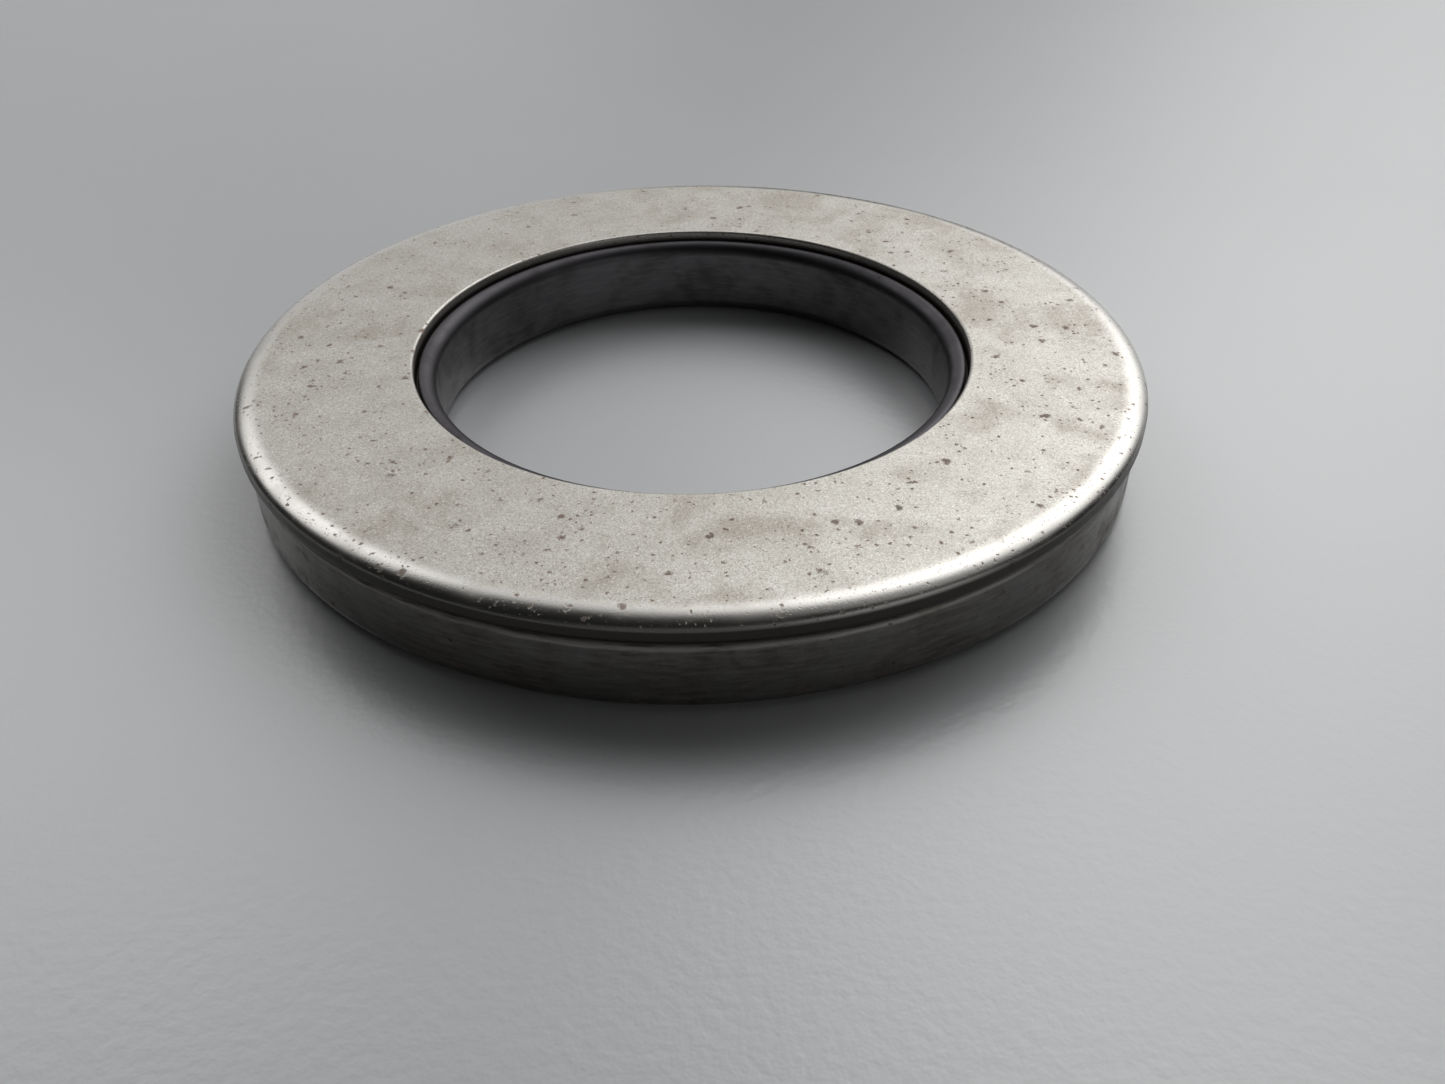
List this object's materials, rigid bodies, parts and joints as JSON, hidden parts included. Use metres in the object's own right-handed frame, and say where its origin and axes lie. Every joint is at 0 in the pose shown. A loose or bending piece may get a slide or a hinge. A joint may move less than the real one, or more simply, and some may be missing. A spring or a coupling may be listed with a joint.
{
  "type": "thrust ball bearing",
  "caption": "Flat enclosed thrust ball bearing: two steel washers with caged balls between them, in a curled outer band and a flared inner sleeve.",
  "frame": {"origin": "centre of the lower washer's flat bottom face, on the bearing's axis", "axes": "+Z along the bearing's axis, from the resting face to the upper washer; X and Y are alike"},
  "size_m": [0.0604, 0.0604, 0.0063],
  "materials": {
    "washer_steel": "fine ground steel, dulled, with small rust pits and faint stains",
    "band_steel": "drawn sheet steel, dark, with rub lines around the wall",
    "sleeve_steel": "drawn sheet steel, darkened, glossier where the end is flared",
    "ball_steel": "polished hardened steel",
    "cage_nylon": "moulded natural nylon, matt"
  },
  "bodies": {
    "lower_assembly": {"lower_washer": "washer_steel", "outer_band": "band_steel", "inner_sleeve": "sleeve_steel"},
    "upper_race": {"upper_washer": "washer_steel"},
    "cage": {"ball_cage": "cage_nylon"},
    "ball_01": {"ball_01": "ball_steel"},
    "ball_02": {"ball_02": "ball_steel"},
    "ball_03": {"ball_03": "ball_steel"},
    "ball_04": {"ball_04": "ball_steel"},
    "ball_05": {"ball_05": "ball_steel"},
    "ball_06": {"ball_06": "ball_steel"},
    "ball_07": {"ball_07": "ball_steel"},
    "ball_08": {"ball_08": "ball_steel"},
    "ball_09": {"ball_09": "ball_steel"},
    "ball_10": {"ball_10": "ball_steel"},
    "ball_11": {"ball_11": "ball_steel"},
    "ball_12": {"ball_12": "ball_steel"},
    "ball_13": {"ball_13": "ball_steel"},
    "ball_14": {"ball_14": "ball_steel"},
    "ball_15": {"ball_15": "ball_steel"},
    "ball_16": {"ball_16": "ball_steel"},
    "ball_17": {"ball_17": "ball_steel"},
    "ball_18": {"ball_18": "ball_steel"},
    "ball_19": {"ball_19": "ball_steel"},
    "ball_20": {"ball_20": "ball_steel"},
    "ball_21": {"ball_21": "ball_steel"},
    "ball_22": {"ball_22": "ball_steel"},
    "ball_23": {"ball_23": "ball_steel"},
    "ball_24": {"ball_24": "ball_steel"},
    "ball_25": {"ball_25": "ball_steel"},
    "ball_26": {"ball_26": "ball_steel"},
    "ball_27": {"ball_27": "ball_steel"},
    "ball_28": {"ball_28": "ball_steel"},
    "ball_29": {"ball_29": "ball_steel"},
    "ball_30": {"ball_30": "ball_steel"}
  },
  "joints": [
    {"name": "upper_washer_turn", "type": "hinge", "parent": "lower_assembly", "child": "upper_race", "pos_m": [0, 0, 0.00301], "axis": [0, 0, 1], "continuous": true},
    {"name": "cage_turn", "type": "hinge", "parent": "lower_assembly", "child": "cage", "pos_m": [0, 0, 0.00301], "axis": [0, 0, 1], "continuous": true},
    {"name": "ball_01_roll", "type": "hinge", "parent": "cage", "child": "ball_01", "pos_m": [0.02361, 0, 0.00301], "axis": [1, 0, 0], "continuous": true},
    {"name": "ball_02_roll", "type": "hinge", "parent": "cage", "child": "ball_02", "pos_m": [0.0231, 0.00491, 0.00301], "axis": [0.9781, 0.2079, 0], "continuous": true},
    {"name": "ball_03_roll", "type": "hinge", "parent": "cage", "child": "ball_03", "pos_m": [0.02157, 0.0096, 0.00301], "axis": [0.9135, 0.4067, 0], "continuous": true},
    {"name": "ball_04_roll", "type": "hinge", "parent": "cage", "child": "ball_04", "pos_m": [0.0191, 0.01388, 0.00301], "axis": [0.809, 0.5878, 0], "continuous": true},
    {"name": "ball_05_roll", "type": "hinge", "parent": "cage", "child": "ball_05", "pos_m": [0.0158, 0.01755, 0.00301], "axis": [0.6691, 0.7431, 0], "continuous": true},
    {"name": "ball_06_roll", "type": "hinge", "parent": "cage", "child": "ball_06", "pos_m": [0.01181, 0.02045, 0.00301], "axis": [0.5, 0.866, 0], "continuous": true},
    {"name": "ball_07_roll", "type": "hinge", "parent": "cage", "child": "ball_07", "pos_m": [0.0073, 0.02246, 0.00301], "axis": [0.309, 0.9511, 0], "continuous": true},
    {"name": "ball_08_roll", "type": "hinge", "parent": "cage", "child": "ball_08", "pos_m": [0.00247, 0.02348, 0.00301], "axis": [0.1045, 0.9945, 0], "continuous": true},
    {"name": "ball_09_roll", "type": "hinge", "parent": "cage", "child": "ball_09", "pos_m": [-0.00247, 0.02348, 0.00301], "axis": [-0.1045, 0.9945, 0], "continuous": true},
    {"name": "ball_10_roll", "type": "hinge", "parent": "cage", "child": "ball_10", "pos_m": [-0.0073, 0.02246, 0.00301], "axis": [-0.309, 0.9511, 0], "continuous": true},
    {"name": "ball_11_roll", "type": "hinge", "parent": "cage", "child": "ball_11", "pos_m": [-0.01181, 0.02045, 0.00301], "axis": [-0.5, 0.866, 0], "continuous": true},
    {"name": "ball_12_roll", "type": "hinge", "parent": "cage", "child": "ball_12", "pos_m": [-0.0158, 0.01755, 0.00301], "axis": [-0.6691, 0.7431, 0], "continuous": true},
    {"name": "ball_13_roll", "type": "hinge", "parent": "cage", "child": "ball_13", "pos_m": [-0.0191, 0.01388, 0.00301], "axis": [-0.809, 0.5878, 0], "continuous": true},
    {"name": "ball_14_roll", "type": "hinge", "parent": "cage", "child": "ball_14", "pos_m": [-0.02157, 0.0096, 0.00301], "axis": [-0.9135, 0.4067, 0], "continuous": true},
    {"name": "ball_15_roll", "type": "hinge", "parent": "cage", "child": "ball_15", "pos_m": [-0.0231, 0.00491, 0.00301], "axis": [-0.9781, 0.2079, 0], "continuous": true},
    {"name": "ball_16_roll", "type": "hinge", "parent": "cage", "child": "ball_16", "pos_m": [-0.02361, 0, 0.00301], "axis": [-1, 0, 0], "continuous": true},
    {"name": "ball_17_roll", "type": "hinge", "parent": "cage", "child": "ball_17", "pos_m": [-0.0231, -0.00491, 0.00301], "axis": [-0.9781, -0.2079, 0], "continuous": true},
    {"name": "ball_18_roll", "type": "hinge", "parent": "cage", "child": "ball_18", "pos_m": [-0.02157, -0.0096, 0.00301], "axis": [-0.9135, -0.4067, 0], "continuous": true},
    {"name": "ball_19_roll", "type": "hinge", "parent": "cage", "child": "ball_19", "pos_m": [-0.0191, -0.01388, 0.00301], "axis": [-0.809, -0.5878, 0], "continuous": true},
    {"name": "ball_20_roll", "type": "hinge", "parent": "cage", "child": "ball_20", "pos_m": [-0.0158, -0.01755, 0.00301], "axis": [-0.6691, -0.7431, 0], "continuous": true},
    {"name": "ball_21_roll", "type": "hinge", "parent": "cage", "child": "ball_21", "pos_m": [-0.01181, -0.02045, 0.00301], "axis": [-0.5, -0.866, 0], "continuous": true},
    {"name": "ball_22_roll", "type": "hinge", "parent": "cage", "child": "ball_22", "pos_m": [-0.0073, -0.02246, 0.00301], "axis": [-0.309, -0.9511, 0], "continuous": true},
    {"name": "ball_23_roll", "type": "hinge", "parent": "cage", "child": "ball_23", "pos_m": [-0.00247, -0.02348, 0.00301], "axis": [-0.1045, -0.9945, 0], "continuous": true},
    {"name": "ball_24_roll", "type": "hinge", "parent": "cage", "child": "ball_24", "pos_m": [0.00247, -0.02348, 0.00301], "axis": [0.1045, -0.9945, 0], "continuous": true},
    {"name": "ball_25_roll", "type": "hinge", "parent": "cage", "child": "ball_25", "pos_m": [0.0073, -0.02246, 0.00301], "axis": [0.309, -0.9511, 0], "continuous": true},
    {"name": "ball_26_roll", "type": "hinge", "parent": "cage", "child": "ball_26", "pos_m": [0.01181, -0.02045, 0.00301], "axis": [0.5, -0.866, 0], "continuous": true},
    {"name": "ball_27_roll", "type": "hinge", "parent": "cage", "child": "ball_27", "pos_m": [0.0158, -0.01755, 0.00301], "axis": [0.6691, -0.7431, 0], "continuous": true},
    {"name": "ball_28_roll", "type": "hinge", "parent": "cage", "child": "ball_28", "pos_m": [0.0191, -0.01388, 0.00301], "axis": [0.809, -0.5878, 0], "continuous": true},
    {"name": "ball_29_roll", "type": "hinge", "parent": "cage", "child": "ball_29", "pos_m": [0.02157, -0.0096, 0.00301], "axis": [0.9135, -0.4067, 0], "continuous": true},
    {"name": "ball_30_roll", "type": "hinge", "parent": "cage", "child": "ball_30", "pos_m": [0.0231, -0.00491, 0.00301], "axis": [0.9781, -0.2079, 0], "continuous": true}
  ],
  "couplings": [
    {"joint": "cage_turn", "follows": "upper_washer_turn", "ratio": 0.5},
    {"joint": "ball_01_roll", "follows": "upper_washer_turn", "ratio": -7.437},
    {"joint": "ball_02_roll", "follows": "upper_washer_turn", "ratio": -7.437},
    {"joint": "ball_03_roll", "follows": "upper_washer_turn", "ratio": -7.437},
    {"joint": "ball_04_roll", "follows": "upper_washer_turn", "ratio": -7.437},
    {"joint": "ball_05_roll", "follows": "upper_washer_turn", "ratio": -7.437},
    {"joint": "ball_06_roll", "follows": "upper_washer_turn", "ratio": -7.437},
    {"joint": "ball_07_roll", "follows": "upper_washer_turn", "ratio": -7.437},
    {"joint": "ball_08_roll", "follows": "upper_washer_turn", "ratio": -7.437},
    {"joint": "ball_09_roll", "follows": "upper_washer_turn", "ratio": -7.437},
    {"joint": "ball_10_roll", "follows": "upper_washer_turn", "ratio": -7.437},
    {"joint": "ball_11_roll", "follows": "upper_washer_turn", "ratio": -7.437},
    {"joint": "ball_12_roll", "follows": "upper_washer_turn", "ratio": -7.437},
    {"joint": "ball_13_roll", "follows": "upper_washer_turn", "ratio": -7.437},
    {"joint": "ball_14_roll", "follows": "upper_washer_turn", "ratio": -7.437},
    {"joint": "ball_15_roll", "follows": "upper_washer_turn", "ratio": -7.437},
    {"joint": "ball_16_roll", "follows": "upper_washer_turn", "ratio": -7.437},
    {"joint": "ball_17_roll", "follows": "upper_washer_turn", "ratio": -7.437},
    {"joint": "ball_18_roll", "follows": "upper_washer_turn", "ratio": -7.437},
    {"joint": "ball_19_roll", "follows": "upper_washer_turn", "ratio": -7.437},
    {"joint": "ball_20_roll", "follows": "upper_washer_turn", "ratio": -7.437},
    {"joint": "ball_21_roll", "follows": "upper_washer_turn", "ratio": -7.437},
    {"joint": "ball_22_roll", "follows": "upper_washer_turn", "ratio": -7.437},
    {"joint": "ball_23_roll", "follows": "upper_washer_turn", "ratio": -7.437},
    {"joint": "ball_24_roll", "follows": "upper_washer_turn", "ratio": -7.437},
    {"joint": "ball_25_roll", "follows": "upper_washer_turn", "ratio": -7.437},
    {"joint": "ball_26_roll", "follows": "upper_washer_turn", "ratio": -7.437},
    {"joint": "ball_27_roll", "follows": "upper_washer_turn", "ratio": -7.437},
    {"joint": "ball_28_roll", "follows": "upper_washer_turn", "ratio": -7.437},
    {"joint": "ball_29_roll", "follows": "upper_washer_turn", "ratio": -7.437},
    {"joint": "ball_30_roll", "follows": "upper_washer_turn", "ratio": -7.437}
  ]
}
